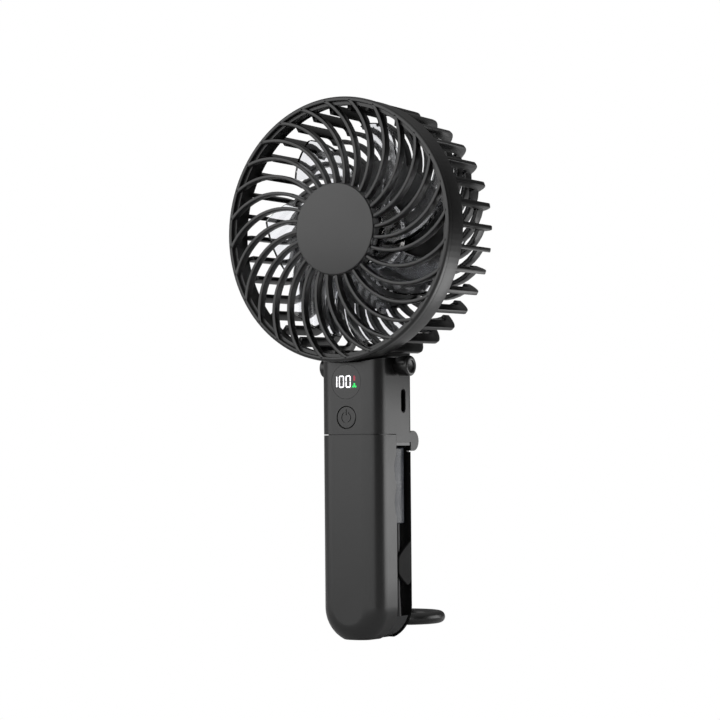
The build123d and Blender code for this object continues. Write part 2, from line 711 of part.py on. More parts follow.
lip_front_y = seam_y - 2.6
channel_top = side_seam_height - gap - tray_wall
leg_block = slab((-half_width, channel_floor_x), (tray_rear_y - 3.4, tray_rear_y),
                 (leg_pivot_height - 5.6, side_seam_height - gap))
corner_relief = outer_form - handle_form(corner_step)
with BuildPart() as core_tray:
    add(outer_form & slab((-far, far), (seam_y, tray_rear_y), (-1, side_seam_height - gap)))
    add(inner_form & slab((-far, cavity_right_x), (-far, tray_rear_y - tray_wall), (-1, far)),
        mode=Mode.SUBTRACT)
    add(outer_form & leg_block)
    add(slab((channel_floor_x, far), (-far, far), (channel_bottom, channel_top)), mode=Mode.SUBTRACT)
    add(corner_relief & slab((3, far), (-far, far), (-1, channel_bottom + 1)), mode=Mode.SUBTRACT)
    for lip_x, lip_y in (((cavity_right_x, channel_floor_x), (lip_front_y, seam_y + 0.5)),
                         ((cavity_right_x, far), (lip_front_y, lip_front_y + tray_wall))):
        add(handle_form(wall + gap) & slab(lip_x, lip_y, (channel_bottom, channel_top)))
    add(rod(leg_groove_radius, (-leg_ear_x, leg_ear_x), leg_pivot_y, leg_pivot_height),
        mode=Mode.SUBTRACT)
    add(cell_room.part, mode=Mode.SUBTRACT)
save(core_tray.part, "core_tray")

# ==== Side channel: plug and lead =================================================
plug_x = channel_floor_x + gap + plug_thickness / 2
plug_back_y = plug_front_y + plug_width
plug_middle_y = (plug_front_y + plug_back_y) / 2
with BuildPart() as plug_shell:
    with BuildSketch(side_plane(plug_x - plug_thickness / 2)) as plug_outline:
        with Locations((plug_middle_y, plug_bottom + plug_length / 2)):
            Rectangle(plug_width, plug_length)
        for centre in plug_centres:
            with Locations((seam_y + 1.2, centre)):
                Ellipse(0.9 + plug_bulge, 5.4)
        plug_ends = plug_outline.vertices().group_by(Axis.Z)
        fillet(plug_ends[0] + plug_ends[-1], 0.7)
    extrude(amount=plug_thickness)
    add(slab((plug_x - 1.1, plug_x + 1.1), (plug_middle_y - 1.7, plug_middle_y + 1.7),
             (plug_bottom + 1.5, plug_bottom + plug_length - 1.2)), mode=Mode.SUBTRACT)
    add(slab((plug_x - 0.6, plug_x + 0.6), (plug_middle_y - 1.2, plug_middle_y + 1.2),
             (plug_bottom + 0.1, plug_bottom + 2)))
save(plug_shell.part, "plug_shell")

with BuildPart() as plug_core:
    add(slab((plug_x - 0.95, plug_x + 0.95), (plug_middle_y - 1.55, plug_middle_y + 1.55),
             (plug_bottom + 2.1, plug_bottom + 17)))
save(plug_core.part, "plug_core")
with BuildPart() as plug_tip:
    add(slab((plug_x - 0.8, plug_x + 0.8), (plug_middle_y - 1.4, plug_middle_y + 1.4),
             (plug_bottom + 17, plug_bottom + plug_length - 1.3)))
save(plug_tip.part, "plug_tip")

gland_top = channel_bottom + gland_length
lead_y = plug_middle_y
with BuildPart() as lead_gland:
    with BuildSketch(Plane.XY.offset(channel_bottom)):
        with Locations((plug_x, lead_y)):
            Circle(lead_radius + 0.35)
    with BuildSketch(Plane.XY.offset(gland_top)):
        with Locations((plug_x, lead_y)):
            Circle(lead_radius + 0.1)
    loft()
save(lead_gland.part, "lead_gland")
with BuildPart() as charging_lead:
    with BuildSketch(Plane.XY.offset(gland_top)):
        with Locations((plug_x, lead_y)):
            Circle(lead_radius)
    extrude(amount=plug_bottom - gland_top)
save(charging_lead.part, "charging_lead")

# ==== Leg, its pin and tab =======================================================
leg_top = leg_pivot_height - leg_ear_radius - moving_gap
ring_bar_y = rear_y + ring_tube_radius + moving_gap
lug_radius = ring_tube_radius + ring_lug_wall
with BuildPart() as rear_leg:
    add(outer_form & slab((-far, far), (leg_front_y, far), (-1, leg_top)))
    add(slab((-leg_ear_x + moving_gap, leg_ear_x - moving_gap), (leg_front_y, rear_y),
             (leg_top - 1, leg_pivot_height - 2)))
    add(rod(leg_knuckle_radius, (-leg_ear_x + moving_gap, leg_ear_x - moving_gap),
            leg_pivot_y, leg_pivot_height))
    add(rod(leg_pin_radius + running_fit, (-far, far), leg_pivot_y, leg_pivot_height),
        mode=Mode.SUBTRACT)
    add(slab((-ring_lug_width / 2, ring_lug_width / 2), (rear_y - 0.5, ring_bar_y),
             (ring_height - lug_radius, ring_height + lug_radius)))
    add(rod(lug_radius, (-ring_lug_width / 2, ring_lug_width / 2), ring_bar_y, ring_height))
    add(rod(ring_tube_radius + running_fit, (-far, far), ring_bar_y, ring_height),
        mode=Mode.SUBTRACT)
save(rear_leg.part, "rear_leg")
save(rod(leg_pin_radius, (gap - leg_pin_end, leg_pin_end - gap), leg_pivot_y, leg_pivot_height),
     "leg_pivot_pin")

tab_nose_y = seam_y + 1.2
with BuildPart() as leg_tab:
    with BuildSketch(side_plane(half_width - 0.1)) as tab_outline:
        with BuildLine():
            Polyline(
                (leg_front_y, tab_height + tab_length * 0.66),
                (tab_nose_y + 3.2, tab_height + tab_length * 0.4),
                (tab_nose_y, tab_height + tab_length * 0.22),
                (tab_nose_y, tab_height - tab_length * 0.22),
                (tab_nose_y + 3.2, tab_height - tab_length * 0.4),
                (leg_front_y, tab_height - tab_length * 0.66),
                close=True)
        make_face()
        fillet(tab_outline.vertices().sort_by(Axis.Y)[:4], 2.4)
    extrude(amount=-tab_thickness)
    fillet(leg_tab.faces().sort_by(Axis.X)[-1].edges().sort_by(Axis.Y)[:-1], 0.35)
save(leg_tab.part, "leg_tab")

# ==== Stand ring =================================================================
ring_path_radius = ring_outer_radius - ring_tube_radius
ring_half_bar = sqrt(ring_path_radius ** 2 - (ring_centre_y - ring_bar_y) ** 2)
with BuildLine(Plane.XY.offset(ring_height)) as ring_path:
    ThreePointArc((-ring_half_bar, ring_bar_y), (0, ring_centre_y + ring_path_radius),
                  (ring_half_bar, ring_bar_y))
    Line((ring_half_bar, ring_bar_y), (-ring_half_bar, ring_bar_y))
    fillet(ring_path.vertices(), ring_corner)
ring_wire = ring_path.wire()
with BuildPart() as stand_ring:
    with BuildSketch(Plane(origin=ring_wire @ 0, z_dir=ring_wire % 0)):
        Circle(ring_tube_radius)
    sweep(path=ring_wire)
save(stand_ring.part, "stand_ring")
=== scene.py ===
# %% [markdown]
# # A hand-held desk fan, finished in Blender
# The measured design of this fan is already there: every shell, rib, pin and cell is a closed
# solid in its true place, in metres, with +Z up along the handle and the fan blowing along -Y.
# This notebook adds what the eye needs: finer meshes where light shows an edge, and a finish for
# each surface. The first cell loads the design.

import json
import math

import bmesh
import bpy
from mathutils import Matrix, Vector


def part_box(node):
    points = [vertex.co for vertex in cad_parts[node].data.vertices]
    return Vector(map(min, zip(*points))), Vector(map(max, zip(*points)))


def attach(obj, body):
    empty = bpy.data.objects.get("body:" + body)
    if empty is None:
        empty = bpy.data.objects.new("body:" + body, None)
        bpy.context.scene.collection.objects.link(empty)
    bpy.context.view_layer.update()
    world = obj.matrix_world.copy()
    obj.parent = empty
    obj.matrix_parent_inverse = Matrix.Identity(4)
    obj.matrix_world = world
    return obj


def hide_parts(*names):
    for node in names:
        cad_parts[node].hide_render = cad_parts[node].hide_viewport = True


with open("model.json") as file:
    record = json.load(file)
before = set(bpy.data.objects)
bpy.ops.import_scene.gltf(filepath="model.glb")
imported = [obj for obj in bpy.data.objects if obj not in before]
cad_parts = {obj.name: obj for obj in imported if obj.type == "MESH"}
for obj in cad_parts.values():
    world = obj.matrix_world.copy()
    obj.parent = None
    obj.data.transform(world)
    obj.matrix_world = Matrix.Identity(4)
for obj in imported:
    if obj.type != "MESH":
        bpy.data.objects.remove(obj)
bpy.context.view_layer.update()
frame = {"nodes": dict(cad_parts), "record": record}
nodes = frame["nodes"]
MM = 0.001

# %% [markdown]
# ## Places taken from the design
# Each place comes from a node's box, so the pieces made here follow the design when it changes.
# The head turns about a line along Y, through the middle of the hub cap.

# %% Measure the places
def middle(node):
    """The middle of a node's box."""
    low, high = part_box(node)
    return (low + high) / 2


head_centre = middle("hub_cap")
grille_low, grille_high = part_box("front_grille")
cage_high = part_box("rear_cage")[1]
head_radius = (grille_high.x - grille_low.x) / 2
print("head radius in mm:", round(head_radius / MM, 2))

# %% [markdown]
# ## The camera
# A long lens, about two and a half times a normal one, stands 0.9 m away and 33 degrees round
# to the right. It looks very slightly up, which shows the underside of the head's rim
# and hides the top of the handle behind it.

# %% Place the camera
camera_data = bpy.data.cameras.new("camera")
camera_data.lens = 120
camera_data.sensor_width = 36
camera = bpy.data.objects.new("camera", camera_data)
bpy.context.scene.collection.objects.link(camera)
bpy.context.scene.camera = camera
look_at = Vector((0.0107, grille_low.y, head_centre.z - 0.0496))
azimuth = math.radians(33.3)
elevation = math.radians(-2.2)
distance = 0.894
camera_roll = math.radians(-0.48)
toward = Vector((math.sin(azimuth) * math.cos(elevation), -math.cos(azimuth) * math.cos(elevation),
                 math.sin(elevation)))
right = Vector((math.cos(azimuth), math.sin(azimuth), 0))
up = toward.cross(right)
turned_right = right * math.cos(camera_roll) + up * math.sin(camera_roll)
turned_up = up * math.cos(camera_roll) - right * math.sin(camera_roll)
turn = Matrix((turned_right, turned_up, toward)).transposed()
camera.matrix_world = Matrix.Translation(look_at + toward * distance) @ turn.to_4x4()
print("camera at mm:", [round(v / MM, 1) for v in camera.matrix_world.translation])

# %% [markdown]
# ## The studio
# Black plastic has almost no colour of its own, so what shows its shape is what it mirrors. The
# room is therefore built for its reflections: a wide, calm sheet of light all along the front,
# which lays one even grey on every flat face, and dark beyond it, which turns the rounded edges
# black. A small bright card stands low behind the fan on the right. Only the upright side of the
# handle and the underside of the head's rim mirror it, and it gives them their bright band.

# %% Helpers for nodes
def add_node(tree, kind, settings=None, inputs=None):
    """Adds a node, sets its properties and fills or links its inputs."""
    node = tree.nodes.new(kind)
    for key, value in (settings or {}).items():
        setattr(node, key, value)
    for key, value in (inputs or {}).items():
        if isinstance(value, bpy.types.NodeSocket):
            tree.links.new(value, node.inputs[key])
        else:
            node.inputs[key].default_value = value
    return node


def fill_ramp(ramp_node, stops):
    """Gives a colour ramp its stops: pairs of a place from 0 to 1 and a grey."""
    ramp = ramp_node.color_ramp
    while len(ramp.elements) > 1:
        ramp.elements.remove(ramp.elements[-1])
    ramp.elements[0].position = stops[0][0]
    ramp.elements[0].color = (stops[0][1],) * 3 + (1,)
    for place, grey in stops[1:]:
        ramp.elements.new(place).color = (grey,) * 3 + (1,)


# %% Light the room
scene = bpy.context.scene
scene.view_settings.view_transform = "Standard"
scene.view_settings.look = "None"
world = bpy.data.worlds.new("studio")
scene.world = world
world.use_nodes = True
room = world.node_tree
room.nodes.clear()
way = add_node(room, "ShaderNodeTexCoord").outputs["Generated"]
parts = add_node(room, "ShaderNodeSeparateXYZ", {}, {"Vector": way})
forward = add_node(room, "ShaderNodeMath", {"operation": "MULTIPLY"}, {0: parts.outputs["Y"], 1: -1.0})
compass = add_node(room, "ShaderNodeMath", {"operation": "ARCTAN2"},
                   {0: parts.outputs["X"], 1: forward.outputs[0]})
turn = add_node(room, "ShaderNodeMapRange", {}, {
    "Value": compass.outputs[0], "From Min": -math.pi, "From Max": math.pi, "To Min": 0.0, "To Max": 1.0})
# each stop is a compass bearing in degrees, 0 at the front and +90 on the right, with the light there
bearings = [(-180, 0.03), (-150, 0.03), (-110, 0.06), (-72, 0.10), (-60, 0.58), (46, 0.58), (56, 0.02),
            (112, 0.02), (150, 0.03), (180, 0.03)]
around = add_node(room, "ShaderNodeValToRGB", {}, {"Fac": turn.outputs["Result"]})
fill_ramp(around, [((bearing + 180) / 360, light) for bearing, light in bearings])
overhead = add_node(room, "ShaderNodeMapRange", {}, {
    "Value": parts.outputs["Z"], "From Min": 0.45, "From Max": 0.95, "To Min": 0.0, "To Max": 1.0})
sky = add_node(room, "ShaderNodeMixRGB", {}, {
    "Fac": overhead.outputs["Result"], "Color1": around.outputs["Color"], "Color2": (0.12, 0.12, 0.12, 1)})
mirrored = add_node(room, "ShaderNodeBackground", {}, {"Color": sky.outputs["Color"], "Strength": 3.9})
seen = add_node(room, "ShaderNodeBackground", {}, {"Color": (1, 1, 1, 1), "Strength": 1.0})
rays = add_node(room, "ShaderNodeLightPath")
straight = add_node(room, "ShaderNodeMath", {"operation": "MAXIMUM"},
                    {0: rays.outputs["Is Camera Ray"], 1: rays.outputs["Is Transmission Ray"]})
either = add_node(room, "ShaderNodeMixShader", {}, {
    0: straight.outputs[0], 1: mirrored.outputs[0], 2: seen.outputs[0]})
add_node(room, "ShaderNodeOutputWorld", {}, {"Surface": either.outputs[0]})
print("bearings in the room:", len(bearings))

# %% Stand the bright card
def add_card(name, bearing, reach, width, height, lowest, brightness):
    """An upright card of light, facing the fan's middle line."""
    light = bpy.data.lights.new(name, "AREA")
    light.shape = "RECTANGLE"
    light.size = width
    light.size_y = height
    light.energy = brightness * math.pi * width * height
    card = bpy.data.objects.new(name, light)
    scene.collection.objects.link(card)
    angle = math.radians(bearing)
    card.location = (math.sin(angle) * reach, -math.cos(angle) * reach, lowest + height / 2)
    card.rotation_euler = (math.radians(90), 0, angle)
    return card


side_card = add_card("side_card", bearing=132, reach=0.20, width=0.14, height=0.095,
                     lowest=0.004, brightness=2.6)
print("cards:", side_card.name)

# %% [markdown]
# The floor is a large white sheet. To the lens it is as pale as the backdrop, and to the plastic
# it is a dim grey, so that the underside of the rim stays dark.

# %% Lay the floor
bpy.ops.object.select_all(action="DESELECT")
bpy.ops.mesh.primitive_plane_add(size=6, location=(0, 0, 0))
floor = bpy.context.active_object
floor.name = "floor"
floor_finish = bpy.data.materials.new("matt_white_floor")
floor_finish.use_nodes = True
floor_tree = floor_finish.node_tree
floor_tree.nodes.clear()
floor_rays = add_node(floor_tree, "ShaderNodeLightPath")
floor_seen = add_node(floor_tree, "ShaderNodeMath", {"operation": "MAXIMUM"}, {
    0: floor_rays.outputs["Is Camera Ray"], 1: floor_rays.outputs["Is Transmission Ray"]})
floor_white = add_node(floor_tree, "ShaderNodeEmission", {}, {"Color": (1, 1, 1, 1), "Strength": 1.0})
floor_dim = add_node(floor_tree, "ShaderNodeBsdfDiffuse", {}, {"Color": (0.8, 0.8, 0.8, 1)})
floor_mix = add_node(floor_tree, "ShaderNodeMixShader", {}, {
    0: floor_seen.outputs[0], 1: floor_dim.outputs[0], 2: floor_white.outputs[0]})
add_node(floor_tree, "ShaderNodeOutputMaterial", {}, {"Surface": floor_mix.outputs[0]})
floor.data.materials.append(floor_finish)

# %% [markdown]
# ## Finishes
# A colour is written as the sRGB hex that a paint chart gives and turned to the linear numbers
# that a shader wants. Each finish below is then a short recipe of nodes.

# %% Helpers for finishes
def linear(hex_colour, brighter=1.0):
    """The linear RGBA of an sRGB hex colour."""
    values = [int(hex_colour[i:i + 2], 16) / 255 for i in (1, 3, 5)]
    shades = [v / 12.92 if v <= 0.04045 else ((v + 0.055) / 1.055) ** 2.4 for v in values]
    return tuple(shade * brighter for shade in shades) + (1.0,)


def new_finish(name, **settings):
    """A material with a Principled shader set from plain values."""
    finish = bpy.data.materials.new(name)
    finish.use_nodes = True
    shader = finish.node_tree.nodes["Principled BSDF"]
    for key, value in settings.items():
        shader.inputs[key.replace("_", " ")].default_value = value
    return finish, finish.node_tree, shader


# %% [markdown]
# ### Moulded ABS
# The shells, ribs and ring are black ABS, moulded against a spark-eroded tool. The tool leaves a
# grain a few tenths of a millimetre across, too shallow to see as bumps and enough to spread
# each highlight. The black pigment is very dark; the grey that the eye sees is mirrored light.

# %% Moulded ABS
drift_size = 14  # in millimetres, from one glossier patch to the next


def moulded_abs(name, colour, roughness, grain_mm, grain_depth):
    """Black ABS with a fine spark grain and a slow drift in its gloss."""
    finish, tree, shader = new_finish(name, IOR=1.54)
    place = add_node(tree, "ShaderNodeTexCoord").outputs["Object"]
    grain = add_node(tree, "ShaderNodeTexNoise", {"noise_dimensions": "3D"},
                     {"Vector": place, "Scale": 1 / (grain_mm * MM), "Detail": 2.0, "Roughness": 0.6})
    drift = add_node(tree, "ShaderNodeTexNoise", {}, {
        "Vector": place, "Scale": 1 / (drift_size * MM), "Detail": 1.0})
    gloss = add_node(tree, "ShaderNodeMapRange", {}, {
        "Value": drift.outputs["Fac"], "From Min": 0.3, "From Max": 0.7,
        "To Min": roughness - 0.02, "To Max": roughness + 0.02})
    tree.links.new(gloss.outputs["Result"], shader.inputs["Roughness"])
    tone = add_node(tree, "ShaderNodeMixRGB", {}, {
        "Fac": grain.outputs["Fac"], "Color1": linear(colour, 0.7), "Color2": linear(colour, 1.3)})
    tree.links.new(tone.outputs["Color"], shader.inputs["Base Color"])
    bump = add_node(tree, "ShaderNodeBump", {}, {
        "Height": grain.outputs["Fac"], "Strength": 0.4, "Distance": grain_depth * MM})
    tree.links.new(bump.outputs["Normal"], shader.inputs["Normal"])
    return finish


abs_shell = moulded_abs("moulded_black_abs", "#0b0b0b", 0.30, 0.3, 0.004)
abs_grille = moulded_abs("moulded_black_abs_ribs", "#0a0a0a", 0.33, 0.3, 0.004)
abs_gloss = moulded_abs("polished_black_abs", "#040509", 0.14, 0.5, 0.001)

# %% [markdown]
# ### Clear parts
# The rotor is moulded in clear, almost colourless polycarbonate, so that the pale room shows
# through the blades and only their edges and reflections are seen. The plug's grip is the same
# kind of plastic, tinted dark blue-grey and so cloudy that little light passes through it.

# %% Clear polycarbonate
def clear_polycarbonate(name, tint, roughness, waviness_mm, clearness=1.0, mirror=0.5):
    """Clear moulded plastic whose surface flows a little, as thick clear mouldings do."""
    finish, tree, shader = new_finish(
        name, Base_Color=linear(tint), IOR=1.58, Transmission_Weight=clearness, Specular_IOR_Level=mirror)
    place = add_node(tree, "ShaderNodeTexCoord").outputs["Object"]
    flow = add_node(tree, "ShaderNodeTexNoise", {}, {
        "Vector": place, "Scale": 1 / (waviness_mm * MM), "Detail": 1.0})
    haze = add_node(tree, "ShaderNodeMapRange", {}, {
        "Value": flow.outputs["Fac"], "From Min": 0.3, "From Max": 0.7,
        "To Min": roughness * 0.7, "To Max": roughness * 1.3})
    tree.links.new(haze.outputs["Result"], shader.inputs["Roughness"])
    bump = add_node(tree, "ShaderNodeBump", {}, {
        "Height": flow.outputs["Fac"], "Strength": 0.3, "Distance": 0.05 * MM})
    tree.links.new(bump.outputs["Normal"], shader.inputs["Normal"])
    return finish


blade_clear = clear_polycarbonate("clear_polycarbonate_blades", "#f6f7fa", 0.04, 9)
plug_clear = clear_polycarbonate("cloudy_polycarbonate_grip", "#2b303a", 0.2, 6, 0.3, 0.2)

# %% [markdown]
# ### Metals
# The shaft, bearings, screws and pins are ground steel, with fine turned lines; the motor's bell,
# the nut and the port are nickel plate. Metals keep the default IOR.

# %% Turned and plated metal
def turned_metal(name, colour, roughness, line_mm):
    """Metal with fine lines about the fan's axis, as a lathe or a grinder leaves them."""
    finish, tree, shader = new_finish(name, Metallic=1.0)
    place = add_node(tree, "ShaderNodeTexCoord").outputs["Object"]
    lines = add_node(tree, "ShaderNodeTexWave", {"wave_type": "BANDS", "bands_direction": "Y"}, {
        "Vector": place, "Scale": 1 / (line_mm * MM * 20), "Distortion": 2.0, "Detail": 3.0})
    polish = add_node(tree, "ShaderNodeMapRange", {}, {
        "Value": lines.outputs["Fac"], "To Min": roughness * 0.7, "To Max": roughness * 1.3})
    tree.links.new(polish.outputs["Result"], shader.inputs["Roughness"])
    tone = add_node(tree, "ShaderNodeMixRGB", {}, {
        "Fac": lines.outputs["Fac"], "Color1": linear(colour, 0.85), "Color2": linear(colour)})
    tree.links.new(tone.outputs["Color"], shader.inputs["Base Color"])
    return finish


steel = turned_metal("ground_steel", "#b9babd", 0.28, 0.15)
nickel = turned_metal("nickel_plate", "#c9c6be", 0.16, 0.3)
copper = turned_metal("enamelled_copper_wire", "#b8632f", 0.3, 0.25)

# %% [markdown]
# ### The display
# The digits are lit from behind a tinted window, so they glow as bright as white paper. The
# window is a little paler and a little smoother than the shell round it.

# %% Lit marks and the window
def lit_mark(name, colour, strength):
    """A lit segment: a pale moulding that glows through the window."""
    finish, tree, shader = new_finish(name, Base_Color=linear(colour), Roughness=0.4,
                                      Emission_Color=linear(colour))
    place = add_node(tree, "ShaderNodeTexCoord").outputs["Object"]
    spread = add_node(tree, "ShaderNodeTexNoise", {}, {"Vector": place, "Scale": 1 / (1.2 * MM)})
    glow = add_node(tree, "ShaderNodeMapRange", {}, {
        "Value": spread.outputs["Fac"], "To Min": strength * 0.9, "To Max": strength * 1.1})
    tree.links.new(glow.outputs["Result"], shader.inputs["Emission Strength"])
    return finish


lit_white = lit_mark("lit_white_segment", "#fbfbff", 1.0)
lit_red = lit_mark("lit_red_segment", "#8e1f33", 0.35)
lit_green = lit_mark("lit_green_segment", "#17c155", 0.8)
window = moulded_abs("tinted_display_window", "#101010", 0.28, 0.4, 0.001)

# %% [markdown]
# ### Inside pieces
# The cell wears a heat-shrink sleeve, the board a green solder mask and the magnet is grey
# bonded ferrite. They are shut in the handle and the hub, and are finished as plainly as they
# are made. The lead has a soft rubber jacket with a low gloss.

# %% Sleeve, board, ferrite and rubber
def plain_moulding(name, colour, roughness, mottle_mm, spread=0.15):
    """A plain coloured plastic with a faint mottle."""
    finish, tree, shader = new_finish(name, Roughness=roughness)
    place = add_node(tree, "ShaderNodeTexCoord").outputs["Object"]
    mottle = add_node(tree, "ShaderNodeTexNoise", {}, {
        "Vector": place, "Scale": 1 / (mottle_mm * MM), "Detail": 3.0})
    tone = add_node(tree, "ShaderNodeMixRGB", {}, {
        "Fac": mottle.outputs["Fac"], "Color1": linear(colour, 1 - spread),
        "Color2": linear(colour, 1 + spread)})
    tree.links.new(tone.outputs["Color"], shader.inputs["Base Color"])
    bump = add_node(tree, "ShaderNodeBump", {}, {
        "Height": mottle.outputs["Fac"], "Strength": 0.3, "Distance": 0.02 * MM})
    tree.links.new(bump.outputs["Normal"], shader.inputs["Normal"])
    return finish


cell_sleeve = plain_moulding("blue_heat_shrink_sleeve", "#2f5f96", 0.35, 2)
board_green = plain_moulding("green_solder_mask", "#12402a", 0.4, 0.6)
ferrite = plain_moulding("bonded_ferrite", "#3c3c3e", 0.6, 0.3, 0.3)
rubber = plain_moulding("black_rubber_jacket", "#0b0b0d", 0.42, 0.5)

# %% Dress the nodes
finish_of_slot = {
    "abs_black": abs_shell, "abs_grille": abs_grille, "abs_gloss": abs_gloss, "smoke_clear": blade_clear,
    "plug_clear": plug_clear, "window": window, "lit_white": lit_white, "lit_red": lit_red,
    "lit_green": lit_green, "steel": steel, "nickel": nickel, "copper": copper, "board": board_green,
    "cell_wrap": cell_sleeve, "ferrite": ferrite, "lead_jacket": rubber,
}
for subpart in frame["record"]["subparts"]:
    node = nodes[subpart["node"]]
    node.data.materials.clear()
    node.data.materials.append(finish_of_slot[subpart["material_slot"]])
print("nodes dressed:", len(nodes))

# %% [markdown]
# ## Modelling tools
# Every piece below is made as by hand: a primitive is added, parts of it are selected by their
# place, and extrude, inset, bevel or spin shapes them. These helpers select, shape and tidy. A
# spin through a full turn leaves the section standing inside the ring at every step. It is hidden
# in opaque plastic, and a mesh that has to be a clean shell would have those faces deleted.

# %% Helpers for modelling
touch = 0.01 * MM  # two places closer than this are one place
part_gap = 0.1 * MM  # between pieces that sit against each other


def select_only(*pieces):
    """Leaves edit mode and selects only these pieces, the first one active."""
    if bpy.context.mode != "OBJECT":
        bpy.ops.object.mode_set(mode="OBJECT")
    bpy.ops.object.select_all(action="DESELECT")
    for piece in pieces:
        piece.select_set(True)
    bpy.context.view_layer.objects.active = pieces[0]


def settle(piece):
    """Moves an object's place, turn and scale into its mesh."""
    select_only(piece)
    bpy.ops.object.transform_apply(location=True, rotation=True, scale=True)


def pick(piece, kind, test):
    """Opens a piece for editing and selects the VERT, EDGE or FACE items whose middle passes a test."""
    select_only(piece)
    bpy.ops.object.mode_set(mode="EDIT")
    bpy.ops.mesh.select_mode(type=kind)
    bpy.ops.mesh.select_all(action="DESELECT")
    shape = bmesh.from_edit_mesh(piece.data)
    for item in {"VERT": shape.verts, "EDGE": shape.edges, "FACE": shape.faces}[kind]:
        corners = [item] if kind == "VERT" else item.verts
        item.select_set(test(sum((corner.co for corner in corners), Vector()) / len(corners)))
    shape.select_flush_mode()
    bmesh.update_edit_mesh(piece.data)


def close_up(piece):
    """Merges doubles, turns every face outwards and leaves edit mode."""
    pick(piece, "VERT", lambda place: True)
    bpy.ops.mesh.remove_doubles(threshold=touch / 10)
    bpy.ops.mesh.normals_make_consistent(inside=False)
    bpy.ops.object.mode_set(mode="OBJECT")


def round_edges(piece, width, segments=2):
    """Rounds every sharp edge with a bevel that is applied."""
    select_only(piece)
    bevel = piece.modifiers.new("round", "BEVEL")
    bevel.width = width
    bevel.segments = segments
    bevel.limit_method = "ANGLE"
    bevel.angle_limit = math.radians(40)
    bpy.ops.object.modifier_apply(modifier=bevel.name)


def bore(piece, start, end, radius):
    """Cuts a round hole along X or Y, from one depth to another."""
    middle_place = (start + end) / 2
    span = end - start
    bpy.ops.object.select_all(action="DESELECT")
    bpy.ops.mesh.primitive_cylinder_add(
        vertices=48, radius=radius, depth=span.length, location=middle_place)
    drill = bpy.context.active_object
    drill.rotation_euler = span.to_track_quat("Z", "Y").to_euler()
    settle(drill)
    select_only(piece)
    cut = piece.modifiers.new("hole", "BOOLEAN")
    cut.operation = "DIFFERENCE"
    cut.solver = "EXACT"
    cut.object = drill
    bpy.ops.object.modifier_apply(modifier=cut.name)
    bpy.data.objects.remove(drill)


def copies_round_head(piece, count, first=0.0):
    """Copies of a piece turned evenly about the head's axis, each with its own mesh."""
    made = []
    to_centre = Matrix.Translation(head_centre)
    for index in range(count):
        angle = -math.radians(first + 360 / count * index)
        copy = piece.copy()
        copy.data = piece.data.copy()
        scene.collection.objects.link(copy)
        copy.data.transform(to_centre @ Matrix.Rotation(angle, 4, "Y") @ to_centre.inverted())
        made.append(copy)
    bpy.data.objects.remove(piece)
    return made


def join(name, pieces, node, smooth_degrees=35):
    """Joins pieces into one that stands for a node of the design and takes its finish and body."""
    select_only(*pieces)
    bpy.ops.object.join()
    piece = bpy.context.active_object
    piece.name = name
    bpy.ops.object.shade_smooth_by_angle(angle=math.radians(smooth_degrees))
    slot = slot_of_node[node]
    piece.data.materials.clear()
    piece.data.materials.append(finish_of_slot[slot])
    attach(piece, body_of_node[node])
    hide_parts(node)
    piece.data.update()
    print(name, "faces:", len(piece.data.polygons))
    return piece


def head_section(name, reach, depth):
    """A flat section in the head's middle plane: reach is out from the axis, depth is along Y."""
    bpy.ops.object.select_all(action="DESELECT")
    bpy.ops.mesh.primitive_plane_add(
        size=1, location=(sum(reach) / 2, sum(depth) / 2, head_centre.z))
    piece = bpy.context.active_object
    piece.name = name
    piece.scale = (reach[1] - reach[0], depth[1] - depth[0], 1)
    settle(piece)
    return piece


def round_corners(piece, radius, test, segments=4):
    """Rounds the corners of a flat section that pass a test."""
    pick(piece, "VERT", test)
    bpy.ops.mesh.bevel(offset=radius, offset_type="OFFSET", segments=segments, affect="VERTICES")
    bpy.ops.object.mode_set(mode="OBJECT")


def spin_section(piece, degrees=360.0, steps=144, centre=None, axis=(0, 1, 0)):
    """Sweeps a flat section about a line. A full turn also keeps a copy of the section at each step."""
    pick(piece, "FACE", lambda place: True)
    bpy.ops.mesh.spin(steps=steps, angle=math.radians(degrees), center=centre or head_centre, axis=axis)
    close_up(piece)
    return piece


record = frame["record"]
slot_of_node = {subpart["node"]: subpart["material_slot"] for subpart in record["subparts"]}
body_of_node = {node: body for body, held in record["behaviour"]["bodies"].items() for node in held}
print("bodies:", sorted(set(body_of_node.values())))

# %% [markdown]
# ## The front grille
# A grille like this is one moulding: a rounded outer ring, a thin skirt that snaps into the cage,
# and 28 ribs that curve from the cap's seat to the ring. Lofting each rib would hide its simple
# form. A rib is a small rounded section carried along an arc, and spin does just that.

# %% A curved rib
def arc_through(first, second, third):
    """The centre of the circle through three points, and its signed turn from first to third."""
    (ax, az), (bx, bz), (cx, cz) = first, second, third
    double_area = 2 * (ax * (bz - cz) + bx * (cz - az) + cx * (az - bz))
    squares = [x * x + z * z for x, z in (first, second, third)]
    centre_x = (squares[0] * (bz - cz) + squares[1] * (cz - az) + squares[2] * (az - bz)) / double_area
    centre_z = (squares[0] * (cx - bx) + squares[1] * (ax - cx) + squares[2] * (bx - ax)) / double_area
    start = math.atan2(az - centre_z, ax - centre_x)
    end = math.atan2(cz - centre_z, cx - centre_x)
    sweep = (end - start + math.pi) % (2 * math.pi) - math.pi
    return (centre_x, centre_z), start, sweep


